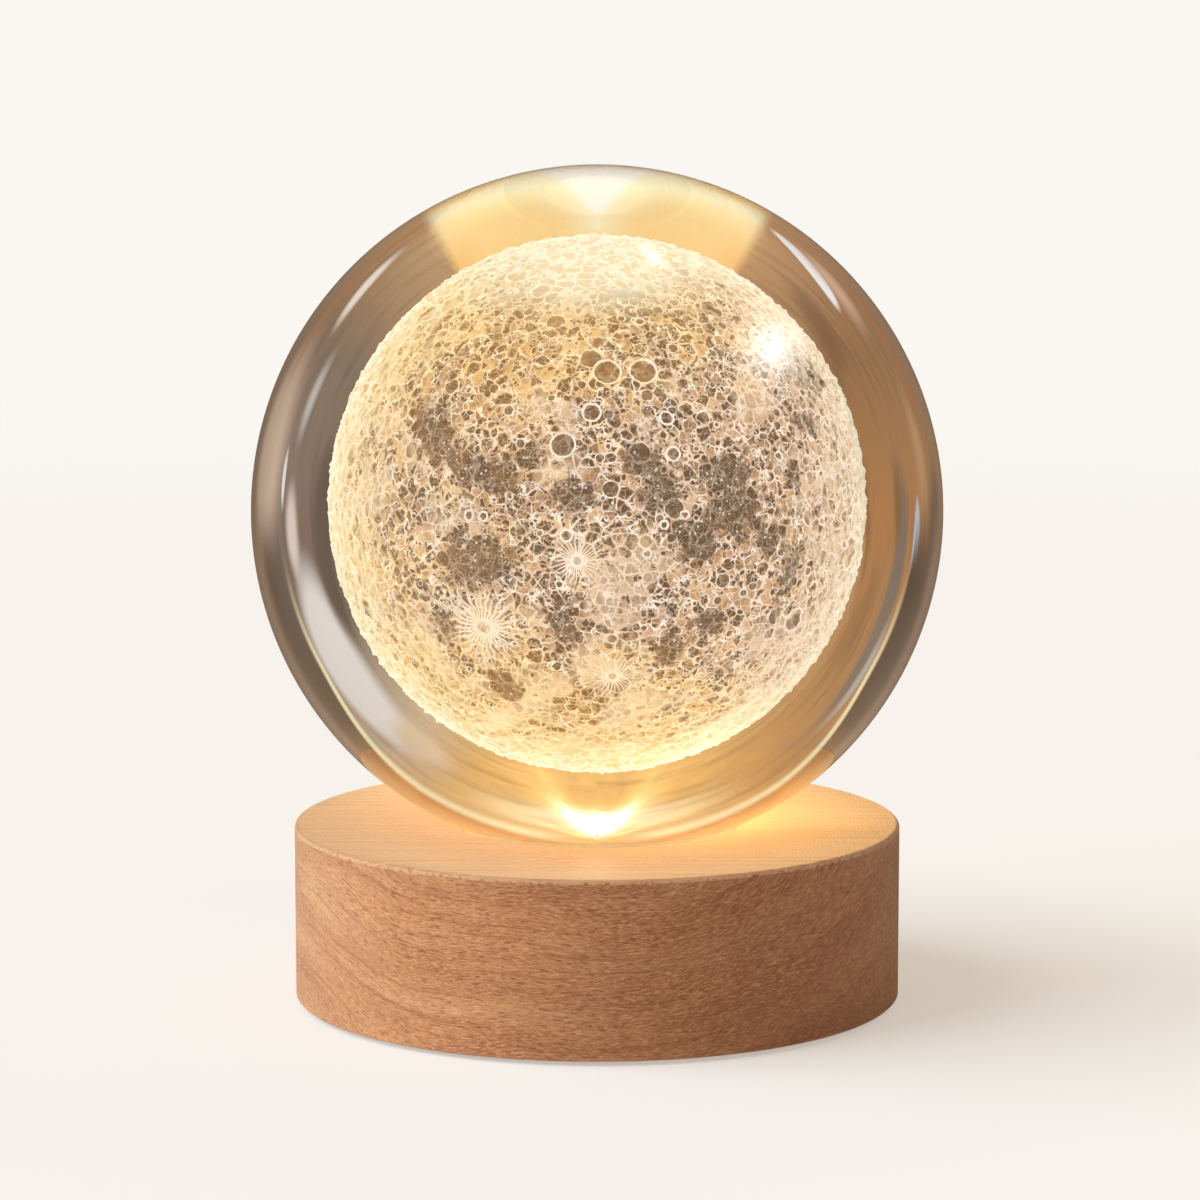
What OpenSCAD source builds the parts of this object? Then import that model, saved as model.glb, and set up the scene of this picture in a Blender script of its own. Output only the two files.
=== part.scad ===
// Crystal moon lamp: a solid glass ball with a moon engraved inside it, resting on a lit beech base.
// Millimetres. Z is up, the table is z = 0, the lamp's axis is x = y = 0, and the back is +Y.

/* [Crystal ball] */
// Diameter of the glass ball
ball_d = 80; // [70:1:100]
// Depth to which the ball sinks below the top of the base
ball_sink = 3.7; // [3:0.1:6]
// Diameter of the moon engraved in the glass
moon_d = 40.8; // [30:0.1:50]
// Height of the moon's centre above the ball's centre
moon_rise = 0.6; // [0:0.1:2]
// Room between the engraved moon and the glass around it
moon_gap = 0.3; // [0.25:0.05:0.6]

/* [Moon relief] */
// Number of craters on the moon
crater_count = 28; // [6:1:40]
// Rim radius of the smallest crater
crater_r_min = 1; // [0.8:0.1:1.6]
// Rim radius of the largest crater
crater_r_max = 3.4; // [2:0.1:3.6]
// Depth of a crater's floor below its rim, as a share of its rim radius
crater_depth = 0.18; // [0.1:0.01:0.3]
// Thickness of a crater's raised rim, as a radius
rim_r = 0.16; // [0.08:0.01:0.2]

/* [Wooden base] */
// Diameter of the turned base
base_d = 70.6; // [70:0.2:90]
// Radius of the softened outer edges
edge_round = 0.5; // [0.2:0.1:1.5]
// Thickness of the wall round the pocket underneath
side_wall = 9.3; // [8:0.1:10]
// Thickness of the wood outside the cover's rebate
rim_wall = 3.3; // [3:0.1:4]
// Thickness of the wall behind the socket and the button
back_wall = 7; // [6.5:0.1:8]
// Thickness of the wood between the pocket and the light recess
web_t = 2; // [1.8:0.1:4]

/* [Light] */
// Gap round the ball at the mouth of the recess
mouth_gap = 0.36; // [0.2:0.02:1]
// Radial clearance of the pieces that drop into the recess
drop_gap = 0.1; // [0.05:0.05:0.3]
// Gap between the ball and its soft seat
seat_gap = 0.15; // [0.1:0.05:0.3]
// Width of the soft seat ring
seat_w = 3.8; // [3:0.1:5]
// Depth of the seat ring's lip below the top of the base
seat_drop = 0.2; // [0.1:0.05:0.6]
// Gap between the bottom of the ball and the light window
window_gap = 0.3; // [0.2:0.05:1]
// Thickness of the frosted light window
window_t = 1.2; // [0.8:0.1:2]
// Height of the reflector ring
reflector_h = 3.4; // [2.8:0.1:6]
// Width of the reflector ring at its foot
reflector_foot = 4; // [3:0.1:4.5]
// Width of the reflector ring at its top
reflector_lip = 1.2; // [0.8:0.1:2]
// Thickness of the aluminium LED board
led_board_t = 1.2; // [0.8:0.1:2]
// Side of the middle LED
led_mid = 5; // [3:0.1:6]
// Length of each small LED
led_len = 3.5; // [2.8:0.1:4]
// Width of each small LED
led_wid = 2.8; // [2:0.1:3]
// Height of the LEDs
led_t = 0.8; // [0.5:0.1:1.2]
// Number of small LEDs round the middle one
led_count = 6; // [3:1:6]
// Radius of the circle that the small LEDs stand on
led_ring_r = 6.5; // [6:0.1:7]
// Width of the slot for the LED wires
wire_slot_w = 5; // [4:0.1:6]
// Depth of the slot for the LED wires, from the edge of the board
wire_slot_l = 3.4; // [3:0.1:4]

/* [Charging board] */
// Width of the charging board
board_w = 26; // [25:0.5:27]
// Length of the charging board, front to back
board_l = 15.1; // [15:0.1:17]
// Thickness of the charging board
board_t = 1; // [0.8:0.1:1.6]
// Height of the pillars that carry the board
pillar_h = 2; // [1.8:0.1:3]
// Distance that the socket stands past the edge of the board
socket_overhang = 0.8; // [0.4:0.1:1.2]
// Width of the USB-C socket
socket_w = 8.94; // [8.9:0.01:9]
// Height of the USB-C socket
socket_h = 3.26; // [3.2:0.01:3.3]
// Length of the USB-C socket
socket_l = 7.35; // [7:0.05:8]
// Sheet thickness of the socket's shell
socket_wall = 0.3; // [0.2:0.05:0.4]
// Distance of the socket's axis from the middle of the board
socket_x = -5.5; // [-6:0.1:-5]
// Width of the plug's grip that the inlet takes
plug_w = 12.8; // [12.4:0.1:13]
// Height of the plug's grip that the inlet takes
plug_h = 7; // [6.6:0.1:7.1]
// Wall of the inlet and of the button's sleeve
bezel_wall = 0.6; // [0.4:0.1:0.7]
// Thickness of the inlet's floor, which the socket stands behind
inlet_floor = 0.8; // [0.5:0.1:1.2]

/* [Button] */
// Diameter of the power button
button_d = 5.6; // [4.5:0.1:6]
// Distance of the button's axis from the middle of the board
button_x = 8.5; // [8.2:0.1:8.8]
// Distance that the button stands out of the wood
button_proud = 0.7; // [0.6:0.1:1.5]
// Travel of the button
button_travel = 0.5; // [0.2:0.05:0.6]
// Radial clearance of the button in its sleeve
button_gap = 0.15; // [0.1:0.05:0.3]
// Width of the flange that keeps the button in
flange_w = 8; // [7.4:0.1:8.4]
// Thickness of the flange
flange_t = 0.9; // [0.6:0.1:1.2]
// Length of the plunger outside its switch
plunger_out = 1; // [0.8:0.1:1.4]

/* [Battery] */
// Width of the pouch cell
cell_w = 25; // [20:0.5:28]
// Length of the pouch cell
cell_l = 20; // [16:0.5:21]
// Thickness of the pouch cell
cell_t = 5; // [4:0.1:6]
// Distance of the cell's back end in front of the lamp's axis
cell_back = 1; // [0:0.1:1.5]
// Thickness of the adhesive foam under the cell
foam_t = 0.5; // [0.3:0.1:1]
// Diameter of every wire, over its insulation
wire_d = 1; // [0.8:0.1:1.2]

/* [Underside] */
// Thickness of the bottom cover
cover_t = 2; // [1.8:0.1:3]
// Radial clearance of the cover in its rebate
cover_gap = 0.15; // [0.1:0.05:0.3]
// Gap between the table and the wood
foot_lift = 0.5; // [0.3:0.1:1]
// Diameter of a rubber foot
foot_d = 8; // [6:0.1:9]
// Depth to which a foot is let into the cover
foot_inset = 0.8; // [0.5:0.1:1]
// Number of feet
foot_count = 4; // [4:1:4]
// Radius of the circle that the feet stand on
foot_ring_r = 22; // [20:0.5:23]
// Number of screws that hold the cover
cover_screw_count = 3; // [3:1:3]
// Radius of a cover screw's shank
cover_screw_r = 1.2; // [1:0.05:1.3]
// Length of a cover screw
cover_screw_l = 8; // [6:0.5:9]
// Radius of a small screw's shank
small_screw_r = 0.8; // [0.6:0.05:0.9]
// Clearance between a screw and its hole
screw_gap = 0.06; // [0.04:0.01:0.1]

/* [Hidden] */
$fn = 96;
// Overlap that makes a cut run clean through a face
cut = 0.5;

// Levels of the base, from the table up
cover_z = foot_lift;
cover_top = cover_z + cover_t;
board_z = cover_top + pillar_h;
board_top = board_z + board_t;
socket_z = board_top + socket_h / 2;
button_z = socket_z;
part_room = 0.24;
cell_room = 0.6;
pocket_h = max(pillar_h + board_t + socket_h + part_room, foam_t + cell_t + cell_room);
pocket_top = cover_top + pocket_h;
recess_z = pocket_top + web_t;
led_top = recess_z + led_board_t;
window_z = led_top + reflector_h;
window_top = window_z + window_t;
ball_bottom = window_top + window_gap;
base_top = ball_bottom + ball_sink;

// Radii of the base and of what it holds
base_r = base_d / 2;
ball_r = ball_d / 2;
ball_z = ball_bottom + ball_r;
mouth_r = sqrt(ball_r * ball_r - (ball_r - ball_sink) * (ball_r - ball_sink));
recess_r = mouth_r + mouth_gap;
drop_r = recess_r - drop_gap;
pocket_r = base_r - side_wall;
rebate_r = base_r - rim_wall;
cover_r = rebate_r - cover_gap;
cover_screw_ring_r = (pocket_r + rebate_r) / 2;

// Places at the back of the base
back_y = base_r - back_wall;
seat_play = 0.1;
socket_y = back_y - seat_play;
board_back = socket_y - socket_overhang;
board_y = board_back - board_l;
notch_side = 0.2;
notch_w = board_w + 2 * notch_side;
bezel_fit = 0.05;
inlet_w = plug_w + 2 * bezel_wall;
inlet_h = plug_h + 2 * bezel_wall;
sleeve_bore_r = button_d / 2 + button_gap;
sleeve_r = sleeve_bore_r + bezel_wall;
board_middle_x = 0;

// Places on the charging board, as [x, distance from its front edge]
board_screw_at = [[-10.8, 6.4], [10.8, 3]];
pad_at = 2.2;
header_at = [-8.5, 0.3];
header_size = [5, 4, 3.3];
header_wall = 0.4;
plug_reach = 2.6;
plug_l = 4.4;
plug_gap = 0.1;
chip_list = [[0.4, 6, 4.9, 3.9, 1.5], [5.9, 5.4, 4, 4, 2], [2.6, 10.6, 2.9, 1.6, 1.1],
             [-4.2, 5.4, 2, 1.2, 1]];
passive_list = [[-3.6, 3, 90], [3.8, 2.2, 0], [6.4, 2.2, 0], [1.2, 9, 0], [3.6, 8.4, 90], [-5.6, 3, 90]];
passive_size = [1.6, 0.8, 0.7];

// The switch behind the button
switch_w = 6;
switch_l = 3.5;
switch_h = 3.2;
plunger_w = 2.8;
plunger_h = 1.4;
plunger_in = 1.2;
plunger_gap = 0.08;
flange_h = 3;
flange_play = 0.1;
flange_back = back_y - flange_play;
flange_front = flange_back - flange_t;
switch_back = flange_front - plunger_out;
// The hole in the wood starts this far back, so that the pressed button's shaft stays clear of it
button_hole_y = flange_back - button_travel - cut;

// The socket's mouth and the tongue inside it
tongue_w = 6.7;
tongue_t = 0.7;
tongue_l = 4.5;
socket_back_t = 1.2;
leg_t = 0.3;
leg_w = 1;
leg_at = [1.4, 5.2];
leg_gap = 0.1;
leg_out = 0.5;

// Screws
head_r_ratio = 1.85;
cover_head_r = cover_screw_r * head_r_ratio;
cover_head_h = 1.3;
cover_screw_turn = 30;
head_rim = 0.2;
small_head_r = 1.6;
small_head_h = 0.8;
recess_cross_w = 0.45;
screw_end_gap = 0.2;
led_screw_l = led_board_t + web_t - 0.5;
led_screw_ring_r = 10.6;
board_screw_l = board_t + pillar_h + 0.8;
pillar_r = 2.2;

// The light stack
reflector_foot_r = drop_r - reflector_foot;
reflector_lip_r = drop_r - reflector_lip;
reflector_step = 0.5;
wire_slot_y = drop_r - wire_slot_l;
wire_hole_y = drop_r - wire_slot_l / 2;
wire_pitch = 2.4;
plug_pitch = 1.4;
wire_dip = 0.9;
wire_hump = 0.85;
solder_back = 1.6;
led_lens_r = 1.9;
led_lens_t = 0.25;
led_lens_inset = 0.3;
led_turn = 30;
wire_flat = 0.8;
solder_gap = 0.02;

// The cell's tray on the cover
tray_wall = 1;
tray_h = 2.2;
tray_gap = 0.3;
tray_leg = 5;
cell_y = -cell_back - cell_l / 2;
cell_z = cover_top + foam_t;
cell_corner = 1.6;
cell_tab_l = 2.4;
cell_tab_t = 2.2;
cell_tab_z = 0.6;
cell_tab_inset = 1;
cover_lip_t = 1.2;
cover_lip_h = 1.2;
cover_lip_gap = 0.3;
cover_lip_short = 3;
foot_turn = 45;

// The moon, spread with craters along a golden spiral
moon_r = moon_d / 2;
moon_z = ball_z + moon_rise;
golden_turn = 137.508;
// Longitude between two craters, where the sphere's own seam goes
seam_turn = 305;
size_turn = 0.618034;
size_power = 3;

// ---- Shapes that repeat ----

// A point of the circle with centre c and radius r
function on_circle(c, r, a) = [c[0] + r * cos(a), c[1] + r * sin(a)];

// Points of an arc from angle a to angle b
function arc(c, r, a, b, steps = 6) = [for (i = [0:steps]) on_circle(c, r, a + (b - a) * i / steps)];

// A bar with round sides, w wide and h high, that runs l along +Y from y = 0
module obround(w, h, l) {
    translate([-(w - h) / 2, 0, -h / 2]) cube([w - h, l, h]);
    for (side = [-1, 1]) translate([side * (w - h) / 2, 0, 0]) rotate([-90, 0, 0]) cylinder(h = l, d = h);
}

// A copy at each of count places round the axis, the first at angle start
module ring_of(count, r, start = 0) {
    for (i = [0:count - 1]) rotate([0, 0, start + 360 * i / count]) translate([r, 0, 0]) children();
}

// A cross recess cut down into a screw head at z = 0
module cross_recess(reach, depth) {
    for (turn = [0, 90]) rotate([0, 0, turn])
        translate([-reach, -recess_cross_w / 2, -depth]) cube([2 * reach, recess_cross_w, depth + cut]);
}

// A pan-head screw with its seat at z = 0, pointing down
module pan_screw(shank_r, length, head_r, head_h) {
    difference() {
        rotate_extrude() polygon(concat([[0, -length], [shank_r * 0.3, -length], [shank_r, -length + shank_r],
            [shank_r, 0], [head_r, 0]], arc([head_r - 0.3, head_h - 0.3], 0.3, 0, 90, 3), [[0, head_h]]));
        translate([0, 0, head_h]) cross_recess(head_r * 0.6, head_h * 0.6);
    }
}

// A countersunk screw whose flat head lies at z = 0, pointing down
module flat_screw(shank_r, length, head_r, head_h) {
    difference() {
        rotate_extrude() polygon([[0, -length], [shank_r * 0.3, -length], [shank_r, -length + 2 * shank_r],
            [shank_r, -head_h], [head_r, -head_rim], [head_r, 0], [0, 0]]);
        cross_recess(head_r * 0.6, head_h * 0.6);
    }
}

function unit(v) = v / norm(v);
function halved(p) = [p[0], for (i = [0:len(p) - 2]) each [p[i] * 0.75 + p[i + 1] * 0.25,
    p[i] * 0.25 + p[i + 1] * 0.75], p[len(p) - 1]];
function heading(p, i) = unit(p[min(i + 1, len(p) - 1)] - p[max(i - 1, 0)]);

// A wire along points that bend only in planes of constant x, or close to one
module wire(points, d) {
    route = halved(halved(points));
    sides = 8;
    last = len(route) - 1;
    rings = [for (i = [0:last]) let (t = heading(route, i), u = unit(cross(t, [1, 0, 0])), v = cross(t, u))
        for (k = [0:sides - 1]) route[i] + d / 2 * (u * cos(360 * k / sides) + v * sin(360 * k / sides))];
    sheet = [for (i = [0:last - 1], k = [0:sides - 1])
        let (a = i * sides + k, b = i * sides + (k + 1) % sides)
        each [[a, b, b + sides], [a, b + sides, a + sides]]];
    start_cap = [for (k = [1:sides - 2]) [0, k + 1, k]];
    end_cap = [for (k = [1:sides - 2]) [last * sides, last * sides + k, last * sides + k + 1]];
    polyhedron(rings, concat(sheet, start_cap, end_cap));
}

// Moves from the charging board's front edge to a place on its top
module on_board(x, y, z = 0) {
    translate([board_middle_x + x, board_y + y, board_top + z]) children();
}

// ---- The crystal ball and its moon ----

module crystal_ball() {
    color("lavender", 0.35) difference() {
        translate([0, 0, ball_z]) sphere(r = ball_r, $fn = 180);
        translate([0, 0, moon_z]) sphere(r = moon_r + moon_gap, $fn = 144);
    }
}

// How far along its size range crater i lies, from 0 to 1, with most of them small
function crater_share(i) = pow(i * size_turn - floor(i * size_turn), size_power);
function crater_r(i) = crater_r_min + (crater_r_max - crater_r_min) * crater_share(i);
function crater_lat(i) = asin(1 - 2 * (i + 0.5) / crater_count);

// Turns children that lie on +Z to crater i
module at_crater(i) {
    rotate([0, 0, i * golden_turn]) rotate([0, 90 - crater_lat(i), 0]) children();
}

module engraved_moon() {
    color("wheat") translate([0, 0, moon_z]) difference() {
        union() {
            rotate([0, 0, seam_turn]) sphere(r = moon_r, $fn = 144);
            for (i = [0:crater_count - 1]) at_crater(i) crater_rim(crater_r(i));
        }
        for (i = [0:crater_count - 1]) at_crater(i) crater_bowl(crater_r(i) - rim_r / 2);
    }
}

// The raised rim of a crater on +Z, with radius r
module crater_rim(r) {
    translate([0, 0, sqrt(moon_r * moon_r - r * r)])
        rotate_extrude($fn = 48) translate([r, 0]) circle(r = rim_r, $fn = 16);
}

// What a crater on +Z cuts out of the moon: part of a large ball, no wider than the crater
module crater_bowl(r) {
    depth = r * crater_depth;
    bowl_r = (r * r + depth * depth) / (2 * depth);
    translate([0, 0, sqrt(moon_r * moon_r - r * r) - depth]) intersection() {
        translate([0, 0, bowl_r]) sphere(r = bowl_r, $fn = 96);
        translate([0, 0, -depth]) cylinder(h = 3 * depth, r = r, $fn = 48);
    }
}

// ---- The wooden base ----

function base_outline() = concat(
    [[0, cover_z], [base_r - edge_round / 2, cover_z], [base_r, cover_z + edge_round / 2]],
    arc([base_r - edge_round, base_top - edge_round], edge_round, 0, 90), [[0, base_top]]);

module wood_base() {
    color("burlywood") difference() {
        rotate_extrude($fn = 180) polygon(base_outline());
        // light recess, and the hole for the wires in its floor
        translate([0, 0, recess_z]) cylinder(h = base_top, r = recess_r, $fn = 144);
        wire_hole();
        // pocket, the board's bay behind it, and the rebate for the cover
        translate([0, 0, cover_z - cut]) cylinder(h = pocket_top - cover_z + cut, r = pocket_r);
        translate([-notch_w / 2, 0, cover_z - cut]) cube([notch_w, back_y, pocket_top - cover_z + cut]);
        translate([0, 0, cover_z - cut]) cylinder(h = cover_t + cut, r = rebate_r, $fn = 144);
        // inlet and button holes through the back wall
        translate([socket_x, back_y - cut, socket_z])
            obround(inlet_w + 2 * bezel_fit, inlet_h + 2 * bezel_fit, back_wall + 2 * cut);
        translate([button_x, button_hole_y, button_z]) rotate([-90, 0, 0])
            cylinder(h = base_r - button_hole_y + cut, r = sleeve_r + bezel_fit);
        // screw holes
        ring_of(cover_screw_count, cover_screw_ring_r, cover_screw_turn)
            translate([0, 0, cover_top - cut]) cylinder(h = cover_screw_l, r = cover_screw_r + screw_gap);
        ring_of(2, led_screw_ring_r) translate([0, 0, led_top - led_screw_l - screw_end_gap])
            cylinder(h = led_screw_l, r = small_screw_r + screw_gap);
    }
}

module wire_hole() {
    translate([-wire_slot_w / 2, wire_slot_y, pocket_top - cut])
        cube([wire_slot_w, wire_slot_l - drop_gap, web_t + 2 * cut]);
}

// ---- The light under the ball ----

module seat_ring() {
    color("ghostwhite", 0.6) difference() {
        translate([0, 0, window_top]) rotate_extrude($fn = 144)
            translate([drop_r - seat_w, 0]) square([seat_w, ball_sink + window_gap - seat_drop]);
        translate([0, 0, ball_z]) sphere(r = ball_r + seat_gap, $fn = 180);
    }
}

module light_window() {
    chamfer = 0.2;
    color("lightyellow", 0.7) translate([0, 0, window_z]) rotate_extrude($fn = 144)
        polygon([[0, 0], [drop_r - chamfer, 0], [drop_r, chamfer], [drop_r, window_t - chamfer],
            [drop_r - chamfer, window_t], [0, window_t]]);
}

module reflector_ring() {
    color("white") difference() {
        translate([0, 0, led_top]) rotate_extrude($fn = 144)
            polygon([[reflector_foot_r, 0], [drop_r, 0], [drop_r, reflector_h],
                [reflector_lip_r, reflector_h], [reflector_lip_r, reflector_h - reflector_step],
                [reflector_foot_r, reflector_step]]);
        translate([-wire_slot_w / 2, reflector_foot_r - reflector_foot, led_top - cut])
            cube([wire_slot_w, 2 * reflector_foot - drop_gap, wire_hump + wire_d + cut]);
    }
}

module led_board() {
    color("gainsboro") difference() {
        translate([0, 0, recess_z]) cylinder(h = led_board_t, r = drop_r, $fn = 144);
        translate([-wire_slot_w / 2, wire_slot_y, recess_z - cut])
            cube([wire_slot_w, wire_slot_l + drop_r, led_board_t + 2 * cut]);
        ring_of(2, led_screw_ring_r) translate([0, 0, recess_z - cut])
            cylinder(h = led_board_t + 2 * cut, r = small_screw_r + screw_gap);
    }
}

module led_chips() {
    color("khaki") translate([0, 0, led_top]) {
        translate([-led_mid / 2, -led_mid / 2, 0]) cube([led_mid, led_mid, led_t]);
        ring_of(led_count, led_ring_r, led_turn)
            translate([-led_wid / 2, -led_len / 2, 0]) cube([led_wid, led_len, led_t]);
    }
}

// The domes of clear resin on the LEDs
module led_lenses() {
    color("lightyellow") translate([0, 0, led_top + led_t]) {
        cylinder(h = led_lens_t, r = led_lens_r);
        ring_of(led_count, led_ring_r, led_turn) cylinder(h = led_lens_t, r = led_wid / 2 - led_lens_inset);
    }
}

module led_board_screws() {
    color("silver") ring_of(2, led_screw_ring_r) translate([0, 0, led_top])
        pan_screw(small_screw_r, led_screw_l, small_head_r, small_head_h);
}

// A wire from the top of the LED board, over its edge and down to the charging board
module led_wire(x) {
    start_y = wire_slot_y - solder_back;
    hump_z = led_top + wire_hump;
    lying_z = led_top + wire_d / 2;
    pad_y = board_y + pad_at;
    wire([[x, start_y, lying_z], [x, start_y + wire_flat, lying_z], [x, wire_slot_y, hump_z],
        [x, wire_hole_y, hump_z], [x, wire_hole_y, recess_z], [x, wire_hole_y, pocket_top],
        [x, pad_y, (pocket_top + board_top) / 2], [x, pad_y, board_top + solder_gap]], wire_d);
}

module led_wire_red() {
    color("firebrick") led_wire(-wire_pitch / 2);
}

module led_wire_black() {
    color("dimgray") led_wire(wire_pitch / 2);
}

// ---- The charging board and what stands on it ----

module charging_board() {
    color("seagreen") difference() {
        translate([-board_w / 2, board_y, board_z]) cube([board_w, board_l, board_t]);
        for (at = board_screw_at) translate([at[0], board_y + at[1], board_z - cut])
            cylinder(h = board_t + 2 * cut, r = small_screw_r + screw_gap);
        socket_legs(leg_gap, cut);
    }
}

module board_chips() {
    color("dimgray") for (c = chip_list) on_board(c[0], c[1]) translate([-c[2] / 2, -c[3] / 2, 0])
        cube([c[2], c[3], c[4]]);
}

module board_passives() {
    color("tan") for (p = passive_list) on_board(p[0], p[1]) rotate([0, 0, p[2]])
        translate([-passive_size[0] / 2, -passive_size[1] / 2, 0]) cube(passive_size);
}

module board_screws() {
    color("silver") for (at = board_screw_at) on_board(at[0], at[1])
        pan_screw(small_screw_r, board_screw_l, small_head_r, small_head_h);
}

// The four legs under the socket, grown by gap on each side and by extra below
module socket_legs(gap, extra) {
    for (side = [-1, 1], at = leg_at)
        translate([socket_x + side * (socket_w - leg_t) / 2, socket_y - at, board_z - leg_out - extra])
            translate([-leg_t / 2 - gap, -leg_w / 2 - gap, 0])
                cube([leg_t + 2 * gap, leg_w + 2 * gap, board_t + leg_out + extra + socket_h / 2]);
}

module usb_socket_shell() {
    color("silver") difference() {
        union() {
            translate([socket_x, socket_y - socket_l, socket_z]) obround(socket_w, socket_h, socket_l);
            socket_legs(0, 0);
        }
        translate([socket_x, socket_y - socket_l + socket_back_t, socket_z])
            obround(socket_w - 2 * socket_wall, socket_h - 2 * socket_wall, socket_l);
    }
}

module usb_socket_tongue() {
    color("black")
        translate([socket_x - tongue_w / 2, socket_y - socket_l + socket_back_t, socket_z - tongue_t / 2])
            cube([tongue_w, tongue_l, tongue_t]);
}

// The moulded inlet in the back wall, cut flush with the round outside of the wood
module usb_inlet() {
    color("saddlebrown") intersection() {
        difference() {
            translate([socket_x, back_y, socket_z]) obround(inlet_w, inlet_h, back_wall + cut);
            translate([socket_x, back_y + inlet_floor, socket_z]) obround(plug_w, plug_h, back_wall + cut);
            translate([socket_x, back_y - cut, socket_z]) obround(socket_w, socket_h, back_wall);
        }
        cylinder(h = base_top, r = base_r, $fn = 180);
    }
}

module battery_header() {
    color("ivory") on_board(header_at[0], header_at[1]) difference() {
        translate([-header_size[0] / 2, 0, 0]) cube(header_size);
        translate([-header_size[0] / 2 + header_wall, -cut, header_wall])
            cube([header_size[0] - 2 * header_wall, plug_reach + plug_gap + cut,
                header_size[2] - 2 * header_wall]);
    }
}

module battery_plug() {
    width = header_size[0] - 2 * (header_wall + plug_gap);
    height = header_size[2] - 2 * (header_wall + plug_gap);
    color("ivory") on_board(header_at[0], header_at[1] + plug_reach - plug_l, header_wall + plug_gap)
        translate([-width / 2, 0, 0]) cube([width, plug_l, height]);
}

// A wire from the cell's end to the back of its plug
module battery_wire(x) {
    plug_front = board_y + header_at[1] + plug_reach - plug_l;
    plug_mid = board_top + header_size[2] / 2;
    cell_mid = cell_z + cell_tab_z + cell_tab_t / 2;
    cell_end = -cell_back + cell_tab_l;
    run = plug_front - cell_end;
    wire([[x, cell_end, cell_mid], [x, cell_end + run * 0.2, cell_mid],
        [x, cell_end + run * 0.45, cell_mid - wire_dip], [x, cell_end + run * 0.7, plug_mid],
        [x, cell_end + run * 0.85, plug_mid], [x, plug_front, plug_mid]], wire_d);
}

module battery_wire_red() {
    color("firebrick") battery_wire(header_at[0] - plug_pitch / 2);
}

module battery_wire_black() {
    color("dimgray") battery_wire(header_at[0] + plug_pitch / 2);
}

// A pouch cell: rounded along its sides, with a taped terminal ledge at its back end
module battery_cell() {
    color("silver") {
        translate([0, cell_y - cell_l / 2, cell_z]) rotate([-90, 0, 0]) linear_extrude(cell_l) cell_section();
        translate([-cell_w / 2 + cell_tab_inset, -cell_back, cell_z + cell_tab_z])
            cube([cell_w - 2 * cell_tab_inset, cell_tab_l, cell_tab_t]);
    }
}

// The cell's cross-section, with z downwards because the extrusion turns it over
module cell_section() {
    half = cell_w / 2 - cell_corner;
    translate([-cell_w / 2, -cell_t + cell_corner]) square([cell_w, cell_t - 2 * cell_corner]);
    translate([-half, -cell_t]) square([2 * half, cell_t]);
    for (side = [-1, 1], level = [cell_corner, cell_t - cell_corner])
        translate([side * half, -level]) circle(r = cell_corner, $fn = 32);
}

module battery_foam() {
    inset = 2;
    color("gray") translate([-cell_w / 2 + inset, cell_y - cell_l / 2 + inset, cover_top])
        cube([cell_w - 2 * inset, cell_l - 2 * inset, foam_t]);
}

// ---- The button ----

module switch_body() {
    color("dimgray") translate([button_x, switch_back, 0]) difference() {
        translate([-switch_w / 2, -switch_l, board_top]) cube([switch_w, switch_l, switch_h]);
        translate([-plunger_w / 2 - plunger_gap, -plunger_in - button_travel - plunger_gap,
            button_z - plunger_h / 2 - plunger_gap])
            cube([plunger_w + 2 * plunger_gap, switch_l, plunger_h + 2 * plunger_gap]);
    }
}

module switch_plunger() {
    color("ivory") translate([button_x - plunger_w / 2, switch_back - plunger_in, button_z - plunger_h / 2])
        cube([plunger_w, plunger_in + plunger_out, plunger_h]);
}

// The button's face follows the round wood, and a flange inside keeps it in
module power_button() {
    face_round = 0.6;
    color("sienna") translate([button_x, 0, button_z]) {
        translate([-flange_w / 2, flange_front, -flange_h / 2]) cube([flange_w, flange_t, flange_h]);
        rotate([-90, 0, 0]) translate([0, 0, flange_back]) rotate_extrude() polygon(concat([[0, 0],
            [button_d / 2, 0]], arc([button_d / 2 - face_round, button_reach() - flange_back - face_round],
            face_round, 0, 90), [[0, button_reach() - flange_back]]));
    }
}

// The y of the button's outer face
function button_reach() = sqrt(base_r * base_r - button_x * button_x) + button_proud;

module button_sleeve() {
    color("saddlebrown") intersection() {
        translate([button_x, back_y, button_z]) rotate([-90, 0, 0]) difference() {
            cylinder(h = back_wall + cut, r = sleeve_r);
            translate([0, 0, -cut]) cylinder(h = back_wall + 3 * cut, r = sleeve_bore_r);
        }
        cylinder(h = base_top, r = base_r, $fn = 180);
    }
}

// ---- The underside ----

module bottom_cover() {
    color("dimgray") difference() {
        union() {
            translate([0, 0, cover_z]) cylinder(h = cover_t, r = cover_r, $fn = 144);
            for (at = board_screw_at) translate([at[0], board_y + at[1], cover_top])
                cylinder(h = pillar_h, r = pillar_r);
            cell_tray();
            cover_lip();
        }
        for (at = board_screw_at)
            translate([at[0], board_y + at[1], board_top - board_screw_l - screw_end_gap])
                cylinder(h = board_screw_l, r = small_screw_r + screw_gap);
        ring_of(cover_screw_count, cover_screw_ring_r, cover_screw_turn) translate([0, 0, cover_z]) {
            translate([0, 0, -cut]) cylinder(h = cover_t + 2 * cut, r = cover_screw_r + screw_gap);
            cover_sink();
        }
        ring_of(foot_count, foot_ring_r, foot_turn)
            translate([0, 0, cover_z - cut]) cylinder(h = foot_inset + cut, r = foot_d / 2 + drop_gap);
    }
}

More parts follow.
